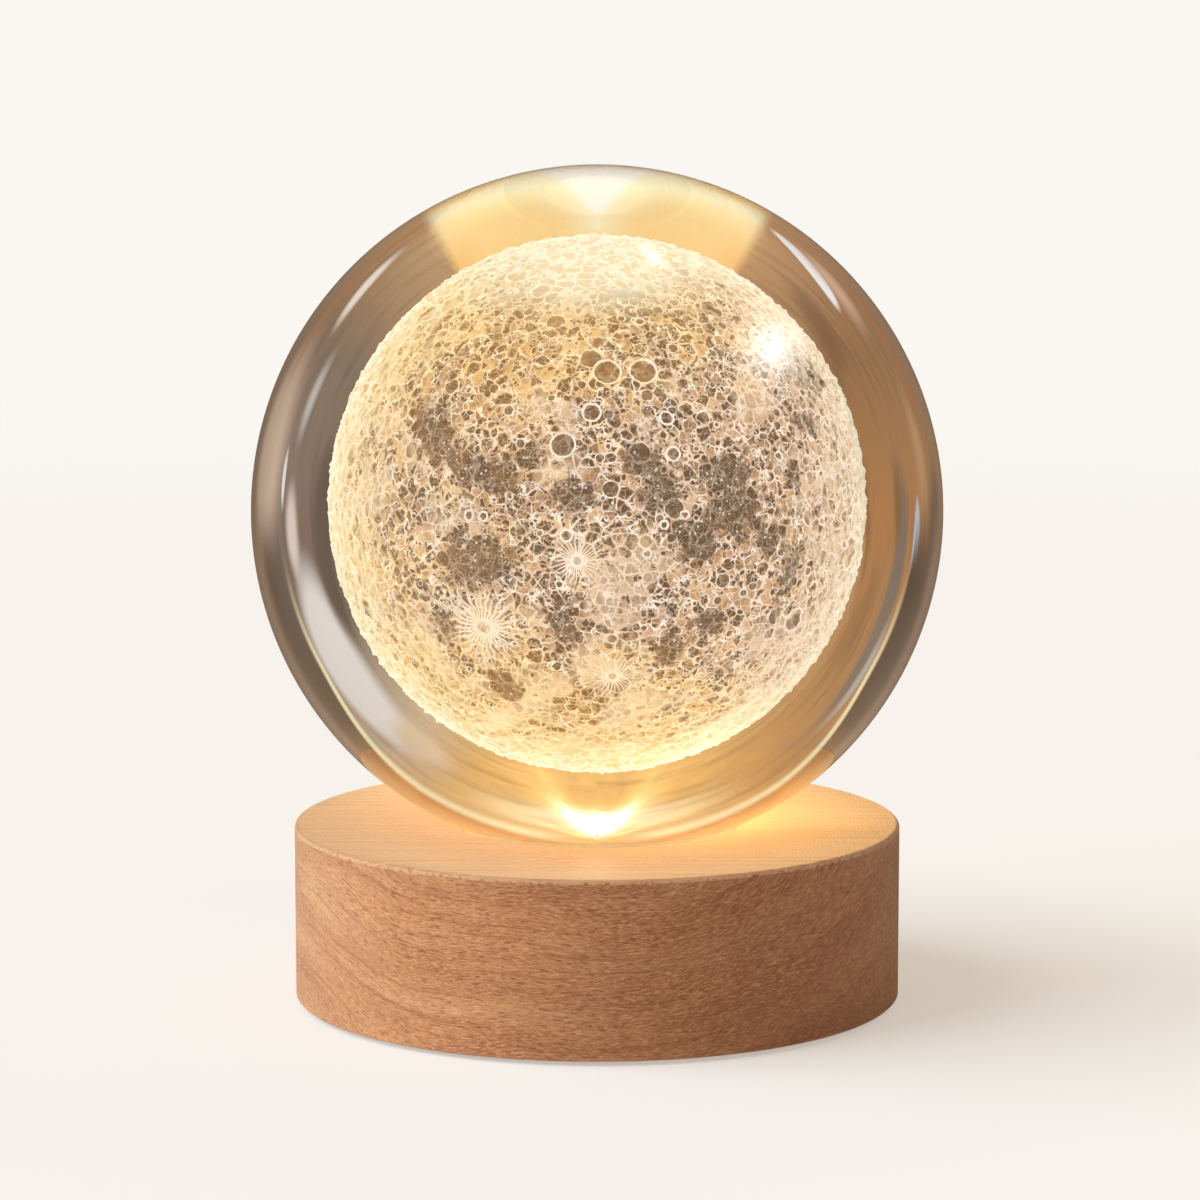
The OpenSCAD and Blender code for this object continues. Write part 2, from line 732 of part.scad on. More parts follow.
// The countersink for a cover screw, widening down to the cover's outside
module cover_sink() {
    slope = (cover_head_r - cover_screw_r) / (cover_head_h - head_rim);
    sink_h = cover_head_h + screw_gap / slope;
    rotate_extrude() polygon([[0, -cut], [cover_head_r + screw_gap, -cut],
        [cover_head_r + screw_gap, head_rim], [cover_screw_r + screw_gap, sink_h], [0, sink_h]]);
}

// Four corner brackets that hold the cell
module cell_tray() {
    for (sx = [-1, 1], sy = [-1, 1])
        translate([sx * (cell_w / 2 + tray_gap), cell_y + sy * (cell_l / 2 + tray_gap), cover_top])
            translate([sx > 0 ? 0 : -tray_wall, sy > 0 ? -tray_leg : 0, 0])
                cube([tray_wall, tray_leg, tray_h]);
}

// A low rib that centres the cover in the pocket, open at the back for the board
module cover_lip() {
    lip_r = pocket_r - cover_lip_gap;
    translate([0, 0, cover_top]) difference() {
        cylinder(h = cover_lip_h, r = lip_r);
        translate([0, 0, -cut]) cylinder(h = cover_lip_h + 2 * cut, r = lip_r - cover_lip_t);
        translate([-base_r, board_y - cover_lip_short, -cut]) cube([base_d, base_r, cover_lip_h + 2 * cut]);
    }
}

module cover_screws() {
    color("silver") ring_of(cover_screw_count, cover_screw_ring_r, cover_screw_turn)
        translate([0, 0, cover_z]) rotate([180, 0, 0])
            flat_screw(cover_screw_r, cover_screw_l, cover_head_r, cover_head_h);
}

// Foot n of the ring, with a softened lower edge
module foot(n) {
    soften = 0.25;
    color("gray") rotate([0, 0, foot_turn + 360 * (n - 1) / foot_count]) translate([foot_ring_r, 0, 0])
        rotate_extrude() polygon([[0, 0], [foot_d / 2 - soften, 0], [foot_d / 2, soften],
            [foot_d / 2, foot_lift + foot_inset], [0, foot_lift + foot_inset]]);
}

wood_base();
crystal_ball();
engraved_moon();
seat_ring();
light_window();
reflector_ring();
led_board();
led_chips();
led_lenses();
led_board_screws();
led_wire_red();
led_wire_black();
charging_board();
board_chips();
board_passives();
board_screws();
usb_socket_shell();
usb_socket_tongue();
usb_inlet();
battery_header();
battery_plug();
battery_wire_red();
battery_wire_black();
battery_cell();
battery_foam();
switch_body();
switch_plunger();
power_button();
button_sleeve();
bottom_cover();
cover_screws();
foot(1);  // foot_1
foot(2);  // foot_2
foot(3);  // foot_3
foot(4);  // foot_4
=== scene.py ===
"""A moon lamp: a crystal ball with a moon engraved inside it, lit from below by its turned beech base."""
import functools
import math

import bmesh
import bpy
import numpy as np
from mathutils import Matrix, Vector


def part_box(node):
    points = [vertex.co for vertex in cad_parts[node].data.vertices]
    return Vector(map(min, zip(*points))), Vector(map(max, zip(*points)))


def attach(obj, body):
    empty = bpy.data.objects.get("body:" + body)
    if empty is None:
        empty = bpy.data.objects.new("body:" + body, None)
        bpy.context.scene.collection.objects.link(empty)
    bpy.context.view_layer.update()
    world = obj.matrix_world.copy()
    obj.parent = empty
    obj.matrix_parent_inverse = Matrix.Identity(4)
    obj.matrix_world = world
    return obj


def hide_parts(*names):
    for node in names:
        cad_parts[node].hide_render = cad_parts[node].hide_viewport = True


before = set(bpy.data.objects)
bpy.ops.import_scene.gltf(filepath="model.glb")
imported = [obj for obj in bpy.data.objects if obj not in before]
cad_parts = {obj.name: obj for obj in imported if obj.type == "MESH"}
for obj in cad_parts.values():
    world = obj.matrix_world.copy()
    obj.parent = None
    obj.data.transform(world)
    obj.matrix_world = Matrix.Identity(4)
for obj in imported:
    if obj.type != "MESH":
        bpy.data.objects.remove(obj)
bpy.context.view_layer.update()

# ---- Sizes and places, in metres where nothing else is said, and from model.glb's parts where it has them ----

MM = 0.001
BALL_LOW, BALL_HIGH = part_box("crystal_ball")
BALL_MIDDLE = Vector((0, 0, (BALL_LOW.z + BALL_HIGH.z) / 2))
BALL_RADIUS = (BALL_HIGH.y - BALL_LOW.y) / 2
MOON_LOW, MOON_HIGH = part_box("engraved_moon")
MOON_MIDDLE = Vector((0, 0, (MOON_LOW.z + MOON_HIGH.z) / 2))
# The engraving's radius, without the rims of its craters
MOON_RADIUS = 20.4 * MM
WOOD_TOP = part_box("wood_base")[1].z
CRYSTAL_IOR = 1.52
# How often the faces of the two globes are divided, so that their outlines are round
GLOBE_STEPS = 7

# The photograph's camera, fitted to the edges of the base and the ball
CAMERA_PLACE = Vector((0, -498.4, 116.5)) * MM
CAMERA_PITCH = math.radians(7.97)
CAMERA_LENS = 129.96
CAMERA_SHIFT = 0.0024
# The line from the camera to the ball runs down by this much
SIGHT_TILT = math.asin((CAMERA_PLACE - BALL_MIDDLE).normalized().z)

# Which setting holds a node's mode, and the nodes that are used most, with their modes
MODES = {"Math": "operation", "VectorMath": "operation", "MapRange": "interpolation_type", "Mix": "data_type",
         "TexVoronoi": "feature", "TexGradient": "gradient_type", "Mapping": "vector_type"}
PLUS, MINUS, TIMES, OVER = "Math:ADD", "Math:SUBTRACT", "Math:MULTIPLY", "Math:DIVIDE"
MOST, SIZE_OF, FALL = "Math:MAXIMUM", "Math:ABSOLUTE", "Math:EXPONENT"
STRETCH, LENGTH = "VectorMath:MULTIPLY", "VectorMath:LENGTH"
STEP = "MapRange:SMOOTHSTEP"
MIX = "Mix:RGBA"
CELLS, WALLS = "TexVoronoi:F1", "TexVoronoi:DISTANCE_TO_EDGE"


# ---- Helpers ----

def srgb(code):
    """An sRGB colour such as "E8C39A" as linear red, green, blue and alpha."""
    parts = [int(code[i:i + 2], 16) / 255 for i in (0, 2, 4)]
    return [c / 12.92 if c <= 0.04045 else ((c + 0.055) / 1.055) ** 2.4 for c in parts] + [1.0]


def add(tree, kind, *values, out=None, stops=(), **settings):
    """Adds one node and returns its first output, or the one that out names. kind may hold the node's mode after a
    colon. values fill its sockets in their order, and a dict fills sockets by name: each is an output, a number, a
    list or an sRGB colour. stops are the places and colours of a ramp."""
    kind, _, mode = kind.partition(":")
    node = tree.nodes.new("ShaderNode" + kind)
    if mode:
        settings[MODES[kind]] = mode
    for name, value in settings.items():
        setattr(node, name, value)
    free = iter([socket for socket in node.inputs if socket.enabled])
    fills = []
    for value in values:
        fills += [(node.inputs[name], v) for name, v in value.items()] if isinstance(value, dict) else [
            (next(free), value)]
    for socket, value in fills:
        if isinstance(value, bpy.types.NodeSocket):
            tree.links.new(value, socket)
        else:
            socket.default_value = srgb(value) if isinstance(value, str) else value
    if stops:
        ramp = node.color_ramp
        while len(ramp.elements) < len(stops):
            ramp.elements.new(0.5)
        for element, (place, code) in zip(ramp.elements, stops):
            element.position = place
            element.color = srgb(code)
    outputs = [socket for socket in node.outputs if socket.enabled]
    return node.outputs[out] if out else outputs[0] if outputs else node


def start(name):
    """A new empty material, what adds nodes to it, and the place on the object in millimetres."""
    material = bpy.data.materials.new(name)
    material.use_nodes = True
    material.node_tree.nodes.clear()
    n = functools.partial(add, material.node_tree)
    return material, n, n("VectorMath:SCALE", n("TexCoord", out="Object"), 1 / MM)


def piece_from(bm, name, finish, smooth=True):
    """Makes a bmesh an object at the origin with one finish."""
    mesh = bpy.data.meshes.new(name)
    bm.to_mesh(mesh)
    bm.free()
    mesh.materials.append(finish)
    if smooth:
        mesh.shade_smooth()
    made = bpy.data.objects.new(name, mesh)
    bpy.context.scene.collection.objects.link(made)
    return made


# ---- Beech, crystal and engraving: what the photograph shows ----

def beech_turned():
    """Solid beech, turned, sanded and waxed. The eye sees a warm orange-brown with a soft sheen, a skin of short fine
    fibres and pores that follow the growth rings round the side, and fine straight lines on top."""
    material, n, mm = start("Beech, turned and waxed")
    x, y, z = n("SeparateXYZ", mm).node.outputs
    # the growth rings cup: on the side they fall at the left and climb at the right
    cup = n(PLUS, n(TIMES, x, 0.11), n(TIMES, n(TIMES, x, x), 0.0085))
    sway = n("TexNoise", n(STRETCH, mm, (0.035, 0.035, 0.06)), 1.0, 1.0)
    ring = n(PLUS, n(MINUS, z, cup), n(TIMES, sway, 8.0))
    side = n("CombineXYZ", x, y, ring)
    bands = n("TexNoise", n(STRETCH, side, (0.03, 0.03, 0.22)), 1.0, 3.0)
    lines = n("TexNoise", n(STRETCH, side, (0.05, 0.05, 1.3)), 1.0, 2.0, 0.6)
    pores = n("TexNoise", n(STRETCH, side, (0.9, 0.9, 5.5)), 1.0, 2.0, 0.55)
    # beech fibres are finer than a pixel, so they are drawn 0.15 mm wide
    fibres = n("TexNoise", n(STRETCH, side, (1.3, 1.3, 7.0)), 1.0, 3.0, 0.65)
    tone = n("ValToRGB", bands, stops=[(0.3, "A2643A"), (0.5, "BE7E4E"), (0.7, "D29A68")])
    # painted shade: the side is darker and redder toward the right, away from the lamp
    tone = n(MIX, n(STEP, x, -14, 16, 0.0, 0.58), tone, "904A1C")
    # pale and dark fibres, thin lines of late wood, and open pores
    tone = n(MIX, n(STEP, fibres, 0.44, 0.66, 0.0, 0.6), tone, "E2AE7E")
    tone = n(MIX, n(STEP, fibres, 0.46, 0.3, 0.0, 0.5), tone, "965A34")
    tone = n(MIX, n(STEP, lines, 0.56, 0.7, 0.0, 0.45), tone, "9A5426")
    tone = n(MIX, n(STEP, pores, 0.55, 0.66, 0.0, 0.7), tone, "84461F")
    # on the right, saw and sanding marks cross the rings
    across = n("Mapping", mm, (0, 0, 0), (0, math.radians(40), 0), (0.3, 0.3, 5.0))
    marks = n(STEP, n("TexNoise", across, 1.0, 2.0), 0.52, 0.64)
    tone = n(MIX, n(TIMES, marks, n(STEP, x, 4, 26, 0.0, 0.4)), tone, "7C4520")
    # the flat top has fine lines along the grain
    top_lines = n("TexNoise", n(STRETCH, mm, (0.035, 1.3, 1)), 1.0, 4.0, 0.65)
    top_pores = n("TexNoise", n(STRETCH, mm, (0.3, 5.0, 1)), 1.0, 1.0)
    top = n("ValToRGB", top_lines, stops=[(0.32, "BE8A60"), (0.5, "CC996E"), (0.66, "D8A87E")])
    top = n(MIX, n(STEP, top_pores, 0.62, 0.7, 0.0, 0.4), top, "CC8C5A")
    # painted shade: round the seat the top is darker and a deeper orange, where the ball shades it
    from_middle = n(LENGTH, n(STRETCH, mm, (1, 1, 0)))
    top = n(MIX, n(STEP, from_middle, 33, 22, 0.0, 0.55), top, "B87038")
    height = n(MINUS, z, WOOD_TOP / MM)
    tone = n(MIX, n(STEP, height, -0.35, -0.15), tone, top)
    # a pale line with a few nicks runs round the top edge
    edge = n(TIMES, n(STEP, height, -0.6, -0.4), n(STEP, height, -0.12, -0.3))
    nicks = n(STEP, n("TexNoise", n("VectorMath:SCALE", mm, 1.8), 1.0, 2.0), 0.5, 0.62, 1.0, 0.0)
    tone = n(MIX, n(TIMES, n(TIMES, edge, nicks), 0.45), tone, "F0C8A0")
    # pores and pale fibres lie below the skin
    relief = n(PLUS, n(TIMES, pores, 0.6), fibres)
    bump = n("Bump", {"Height": relief, "Distance": 0.2 * MM, "Strength": 0.9}, invert=True)
    n("OutputMaterial", n("BsdfPrincipled", {
        "Base Color": tone, "Roughness": n(STEP, fibres, 0.3, 0.7, 0.45, 0.62), "IOR": 1.5, "Normal": bump,
        "Sheen Weight": 0.42, "Sheen Roughness": 0.45, "Sheen Tint": "FFE6CC"}))
    return material


def optical_crystal():
    """Clear optical glass, ground and polished: colourless, with bright sharp reflections. Lamps shine through it,
    and the light from below wells up where it stands in its seat."""
    material, n, mm = start("Optical crystal, polished")
    x, y, high = n("SeparateXYZ", mm).node.outputs
    z = n(MINUS, high, WOOD_TOP / MM)
    # four fans of light stand round the seat, the strongest at the front and the back. Each is drawn by how far aside
    # of its middle and above it a place is. In millimetres, foot is about the ball's radius there, and centre is the
    # middle's height over the wood
    foot, centre = 19.0, 3.9
    turn = n("Math:ARCTAN2", x, y)
    aside = n(TIMES, n("Math:WRAP", turn, math.pi / 4, -math.pi / 4), foot)
    share = n(STEP, n("Math:COSINE", n(TIMES, turn, 2.0)), -1.0, 1.0, 0.15, 1.0)
    rise = n(MINUS, z, centre)
    aside_squared, rise_squared = n(TIMES, aside, aside), n(TIMES, rise, rise)
    core = n(FALL, n(PLUS, n(TIMES, aside_squared, -0.2), n(TIMES, rise_squared, -0.25)))
    reach = n("Math:SQRT", n(PLUS, aside_squared, rise_squared))
    # two broad rays lean out of each fan, at this angle in radians, with thin ones between them
    lean = 0.52
    fan = n(SIZE_OF, n("Math:ARCTAN2", aside, n(PLUS, rise, 2.5)))
    broad = n(STEP, n(SIZE_OF, n(MINUS, fan, lean)), 0.36, 0.0, 0.2, 0.9)
    thin = n("TexNoise", n("CombineXYZ", fan, n(TIMES, reach, 0.03)), 3.0, 3.0)
    rays = n(PLUS, broad, n(STEP, thin, 0.4, 0.7, 0.0, 0.65))
    glow = n(TIMES, n(FALL, n(TIMES, reach, -0.15)), rays)
    # they are fainter just over the wood, where a low skirt of light runs all the way round
    fans = n(TIMES, n(PLUS, n(TIMES, core, 1.15), glow), share)
    fans = n(TIMES, fans, n(STEP, z, 2.4, 0.6, 1.0, 0.2))
    skirt = n(TIMES, n(FALL, n(TIMES, z, -0.4)), 0.26)
    # the wood round the seat sees less of it than the eye, as it leaves mostly upward
    toward_wood = n(STEP, n("LightPath", out="Diffuse Depth"), 0.0, 1.0, 1.0, 0.15)
    strength = n(TIMES, n(TIMES, n(PLUS, fans, skirt), toward_wood), n(STEP, z, 0.0, 1.2))
    colour = n("ValToRGB", fans, stops=[(0.02, "FFB048"), (0.4, "FFD27C"), (0.9, "FFF6DA")])
    glass = n("BsdfPrincipled", {
        "Base Color": "FFFFFF", "Roughness": 0.0, "IOR": CRYSTAL_IOR, "Transmission Weight": 1.0,
        "Emission Color": colour, "Emission Strength": strength})
    # lamps shine through, and their light is a little warmer for it
    clear = n("BsdfTransparent", "F7F0E5")
    n("OutputMaterial", n("MixShader", n("LightPath", out="Is Shadow Ray"), glass, clear))
    material.cycles.emission_sampling = "NONE"
    return material


def engraved_net(n, flat):
    """The net that covers the engraving: bright walls, and the dark holes between them."""
    lines, holes = 0.0, 0.0
    shift = n("VectorMath:SCALE", n("TexNoise", flat, 1.0, 2.0, out="Color"), 0.8)
    warped = n("VectorMath:ADD", flat, shift)
    # two sizes of cell in millimetres, with the width of their walls, how many are dark and how bright the walls are
    for cell, width, dark, bright in ((1.15, 0.09, 0.46, 1.0), (0.62, 0.05, 0.62, 0.55)):
        edge = n(WALLS, warped, 1 / cell)
        pick = n(CELLS, warped, 1 / cell, out="Color")
        lines = n(MOST, lines, n(STEP, edge, width / cell, 0.25 * width / cell, 0.0, bright))
        hole = n(TIMES, n(STEP, edge, width / cell, 2.0 * width / cell), n(STEP, pick, dark - 0.06, dark + 0.06))
        holes = n(MOST, holes, hole)
    # round bubbles with a bright rim lie over it: cell, rim width, and smallest and largest radius
    for cell, width, least, most in ((1.2, 0.07, 0.12, 0.26), (1.9, 0.085, 0.2, 0.5), (4.4, 0.1, 0.45, 1.1)):
        bubble = n(CELLS, flat, 1 / cell, {"Randomness": 0.9}).node.outputs
        radius = n(STEP, bubble["Color"], 0.1, 0.9, least / cell, most / cell)
        off = n(MINUS, bubble["Distance"], radius)
        inside = n(STEP, off, 0.0, -0.6 * width / cell)
        lines = n(TIMES, lines, n(STEP, inside, 0.0, 1.0, 1.0, 0.2))
        lines = n(MOST, lines, n(STEP, n(SIZE_OF, off), width / cell, 0.35 * width / cell))
        holes = n(MOST, holes, n(TIMES, inside, 0.85))
    # the walls fade here and there, so that the net is open
    faint = n("TexNoise", flat, 1.0, 3.0, 0.6)
    return n(TIMES, lines, n(STEP, faint, 0.36, 0.6, 0.28, 1.0)), holes


def ray_craters(n, flat):
    """The craters that throw bright rays: the rays, and how far a place is from the nearest such crater. The mesh
    carries each place's offset from that crater."""
    side, up, _ = n("SeparateXYZ", n("Attribute", attribute_name="star", out="Vector")).node.outputs
    out = n("Math:SQRT", n(PLUS, n(TIMES, side, side), n(TIMES, up, up)))
    # how many rays are round each crater, and in millimetres the longest ray and half a ray's width
    count, longest, half_width = 30, 8.5, 0.085
    spoke = n(PLUS, n(TIMES, n("Math:ARCTAN2", up, side), count / (2 * math.pi)),
              n(TIMES, n("TexNoise", flat, 0.6, 1.0), 2.0))
    off = n(TIMES, n("Math:PINGPONG", spoke, 0.5), n(TIMES, out, 2 * math.pi / count))
    long = n(TIMES, n("TexNoise", n("CombineXYZ", n("Math:ROUND", spoke)), 1.7, 1.0), longest)
    reach = n(TIMES, n(STEP, n(OVER, out, long), 1.1, 0.15), n(STEP, out, 0.25, 0.45))
    return n(TIMES, n(STEP, off, half_width, 0.025), reach), out


def laser_engraving():
    """Laser engraving inside glass: clouds of tiny cracks that scatter the warm light. The eye sees a net of fine
    cream lines and bubble rims over tan and brown clouds, dark seas with white specks, and glowing edges."""
    material, n, mm = start("Laser engraving, lit from below")
    middle = [c / MM for c in MOON_MIDDLE]
    flat = n("VectorMath:SUBTRACT", mm, middle)
    # the place as a share of the moon's radius
    ux, uy, uz = n("SeparateXYZ", n("VectorMath:SCALE", flat, MM / MOON_RADIUS)).node.outputs
    # the light is golden on the left, at the bottom and at the top, and paler elsewhere
    clouds = n("TexNoise", flat, 0.26, 4.0, 0.6)
    gold = n(PLUS, n(PLUS, n(TIMES, ux, -0.5), n(STEP, uz, -0.3, -0.85)),
             n(PLUS, n(STEP, uz, 0.3, 0.9), n(TIMES, n(MINUS, clouds, 0.5), 1.6)), use_clamp=True)
    # the seas have broken shores, and brown ground round them
    shore = n(CELLS, flat, 1 / 0.9, out="Distance")
    sea = n(PLUS, n(PLUS, n("Attribute", attribute_name="sea", out="Fac"), n(TIMES, n(MINUS, shore, 0.45), 0.5)),
            n(TIMES, n(MINUS, n("TexNoise", flat, 0.55, 5.0, 0.65), 0.5), 1.9))
    deep = n(STEP, sea, 0.56, 0.66)
    dusk = n(STEP, sea, 0.1, 0.56)
    # pale veils of very fine cracks lie over the rest, fainter near the top
    veil = n("TexNoise", n("VectorMath:ADD", flat, (31, 7, 12)), 0.19, 3.0, 0.5)
    veil = n(TIMES, n(STEP, veil, 0.47, 0.62), n(TIMES, n(STEP, dusk, 0.7, 0.1), n(STEP, uz, 0.5, 0.75, 1.0, 0.35)))
    fill = n(MIX, gold, "D2A578", "E4B26C")
    brown = n(MOST, n(STEP, clouds, 0.4, 0.56, 0.65, 0.0), n(TIMES, dusk, 0.85))
    fill = n(MIX, brown, fill, n(MIX, gold, "96704E", "AC7E4E"))
    fill = n(MIX, n(TIMES, veil, 0.62), fill, n(MIX, gold, "E6C8A6", "F8DAAA"))
    lines, holes = engraved_net(n, flat)
    holes = n(TIMES, holes, n(STEP, veil, 0.0, 1.0, 1.0, 0.35))
    # the large craters that the mesh carries
    off = n("Attribute", attribute_name="rim", out="Fac")
    bowl = n(STEP, off, -0.05, -0.2)
    lines = n(TIMES, lines, n(STEP, bowl, 0.0, 1.0, 1.0, 0.3))
    lines = n(MOST, lines, n(STEP, n(SIZE_OF, off), 0.13, 0.05))
    holes = n(MOST, holes, n(TIMES, bowl, 0.85))
    rays, out = ray_craters(n, flat)
    lines = n(MOST, n(MOST, lines, rays), n(STEP, out, 0.9, 0.2, 0.0, 0.3))
    holes = n(TIMES, holes, n(STEP, out, 0.6, 2.6, 0.35, 1.0))
    # seas hold white specks and a few fine strokes
    speck = n(CELLS, flat, 1 / 0.6).node.outputs
    specks = n(TIMES, n(STEP, speck["Distance"], 0.26, 0.12), n(STEP, speck["Color"], 0.36, 0.46))
    strokes = n(STEP, n("TexNoise", n(STRETCH, flat, (2.4, 2.4, 6.0)), 1.0, 1.0), 0.6, 0.7, 0.0, 0.3)
    lines = n(TIMES, lines, n(STEP, deep, 0.2, 0.8, 1.0, 0.42))
    lines = n(PLUS, lines, n(TIMES, deep, n(MOST, specks, strokes)), use_clamp=True)
    # dark holes, then dark seas, then cream lines, which are fainter in veils and near seas
    tone = n(MIX, n(TIMES, holes, 0.85), fill, n(MIX, gold, "563F2C", "86592C"))
    sea_tone = n(MIX, gold, n(MIX, clouds, "54402C", "7C6246"), "96683A")
    tone = n(MIX, n(TIMES, deep, 0.82), tone, sea_tone)
    lines = n(TIMES, lines, n(STEP, n(MOST, dusk, veil), 0.0, 1.0, 1.0, 0.7))
    tone = n(MIX, lines, tone, n(MIX, gold, "FFEFDC", "FFEAB8"))
    # light gathers toward the edges in fine streaks: most at the bottom, at the top and on the left. Layer Weight
    # draws them, because cracks in glass hide each other and look denser where sight grazes their cloud
    facing = n("LayerWeight", 0.5, out="Facing")
    from_axis = n("Math:SQRT", n(PLUS, n(TIMES, ux, ux), n(TIMES, uz, uz)))
    round_axis = n("Math:ARCTAN2", ux, uz)
    streaks = n("CombineXYZ", n(TIMES, from_axis, 16.0), n(TIMES, round_axis, 2.5), uy)
    streaks = n("TexNoise", streaks, 1.0, 3.0, 0.6)
    share = n(PLUS, n(TIMES, ux, -0.7), n(TIMES, uz, -0.6))
    share = n(PLUS, share, n(STEP, uz, 0.2, 0.9, 0.6, 2.0), use_clamp=True)
    edge = n(PLUS, facing, n(TIMES, n(MINUS, streaks, 0.5), 0.35))
    brim = n(TIMES, n(STEP, edge, 0.3, 0.78), n(MOST, share, 0.72))
    pool = n(MOST, n(STEP, uz, -0.88, -0.98), n(STEP, uz, 0.84, 1.0, 0.0, 0.9))
    glow = n(MOST, brim, pool)
    white = n(MOST, n(STEP, facing, 0.5, 0.92), n(STEP, uz, 0.78, 0.95))
    gleam = n(MIX, white, n(MIX, n(STEP, ux, 0.2, 0.7), "FFE6AA", "FFEACE"), "FFFBDE")
    tone = n(MIX, n(TIMES, glow, 0.85), tone, gleam)
    # holes are golden where the glow fills them
    filled = n(TIMES, n(TIMES, holes, glow), n(STEP, facing, 0.96, 0.8, 0.0, 0.5))
    tone = n(MIX, filled, tone, "F4C070")
    # its own light is seen but lights nothing, because the lamps by the seat stand for that
    seen = n("Math:LESS_THAN", n("LightPath", out="Diffuse Depth"), 0.5)
    n("OutputMaterial", n("BsdfPrincipled", {
        "Base Color": "2A231C", "Roughness": 0.9, "IOR": 1.05, "Emission Color": tone,
        "Emission Strength": n(TIMES, seen, 1.1)}))
    material.cycles.emission_sampling = "NONE"
    return material


# ---- Lit parts in the seat ----

def frosted_acrylic():
    """Frosted acrylic over warm LEDs: a golden disc, almost white above the LEDs. What shows through the glass is
    brighter and of a deeper gold, as the real one is far brighter than the room."""
    material, n, mm = start("Acrylic, moulded and frosted")
    from_middle = n(LENGTH, n(STRETCH, mm, (1, 1, 0)))
    grain = n("TexNoise", mm, 3.0, 2.0)
    path = n("LightPath").node.outputs
    seen = n("Math:LESS_THAN", path["Diffuse Depth"], 0.5)
    strong = n(TIMES, n(STEP, from_middle, 8.0, 0.5, 1.3, 3.0), seen)
    direct = n(STEP, from_middle, 15.0, 2.0, 0.75, 1.05)
    skin = {"Roughness": 0.55, "Normal": n("Bump", {"Height": grain, "Distance": 0.02 * MM})}
    # the bare eye sees its white body as well, and through the glass the gold outshines that
    by_eye = n("BsdfPrincipled", skin, {
        "Base Color": "F4EFE4", "Emission Color": "FFDFA0", "Emission Strength": direct})
    by_glass = n("BsdfPrincipled", skin, {
        "Base Color": "8C7048", "Emission Color": "FFCB80", "Emission Strength": strong})
    n("OutputMaterial", n("MixShader", path["Is Camera Ray"], by_glass, by_eye))
    material.cycles.emission_sampling = "NONE"
    return material


def led_phosphor():
    """LED chips under cast yellow phosphor: glowing warm squares with a fine powdery grain."""
    material, n, mm = start("LED phosphor, cast and lit")
    powder = n("TexNoise", mm, 6.0, 3.0)
    tone = n("ValToRGB", powder, stops=[(0.35, "F2B048"), (0.65, "FFDC8C")])
    n("OutputMaterial", n("BsdfPrincipled", {
        "Base Color": tone, "Roughness": 0.7, "Emission Color": tone, "Emission Strength": 2.0}))
    material.cycles.emission_sampling = "NONE"
    return material


def clear_cast(name, tint, cloudy, roughness, ior, ripple):
    """Clear silicone or resin: light passes through it, and slight clouds and ripples show that it was cast soft."""
    material, n, mm = start(name)
    clouds = n("TexNoise", mm, 0.5, 3.0)
    waves = n("TexNoise", mm, 1.2, 2.0)
    n("OutputMaterial", n("BsdfPrincipled", {
        "Base Color": n(MIX, n(STEP, clouds, 0.35, 0.7), tint, cloudy), "IOR": ior, "Transmission Weight": 0.92,
        "Roughness": n(STEP, clouds, 0.3, 0.7, roughness, 1.4 * roughness),
        "Normal": n("Bump", {"Height": waves, "Distance": ripple * MM})}))
    return material


# ---- Plastics, rubber, metals and boards ----

def moulded(name, code, second, grain, depth, roughness, ior=1.5, coat=0.0):
    """Moulded plastic or rubber: its colour drifts a little where it flowed, and its skin has the mould's grain.
    grain is that grain's size and depth its height, in millimetres."""
    material, n, mm = start(name)
    flow = n("TexNoise", n(STRETCH, mm, (0.12, 0.12, 0.3)), 1.0, 3.0, 0.55)
    skin = n("TexNoise", mm, 1 / grain, 3.0, 0.6)
    tone = n(MIX, n(PLUS, n(TIMES, flow, 0.6), n(TIMES, skin, 0.4)), code, second)
    n("OutputMaterial", n("BsdfPrincipled", {
        "Base Color": tone, "Roughness": n(STEP, skin, 0.3, 0.7, roughness, roughness + 0.14), "IOR": ior,
        "Normal": n("Bump", {"Height": skin, "Distance": depth * MM}), "Coat Weight": coat, "Coat Roughness": 0.12}))
    return material


def worked_metal(name, code, second, stretch, roughness, depth, crease=0.0):
    """Drawn, plated or laminated metal: fine marks along the way it was worked, and duller patches. stretch is how
    many marks cross each millimetre along x, y and z."""
    material, n, mm = start(name)
    marks = n("TexNoise", n(STRETCH, mm, stretch), 1.0, 3.0, 0.6)
    patches = n("TexNoise", mm, 0.7, 3.0)
    creases = n(WALLS, n("VectorMath:ADD", mm, n("TexNoise", mm, 0.3, out="Color")), 0.35)
    height = n(PLUS, marks, n(TIMES, n(STEP, creases, 0.1, 0.0), crease))
    n("OutputMaterial", n("BsdfPrincipled", {
        "Base Color": n(MIX, n(STEP, patches, 0.35, 0.7), code, second), "Metallic": 1.0,
        "Roughness": n(PLUS, n(TIMES, marks, 0.2), n(TIMES, patches, roughness)),
        "Normal": n("Bump", {"Height": height, "Distance": depth * MM})}))
    return material


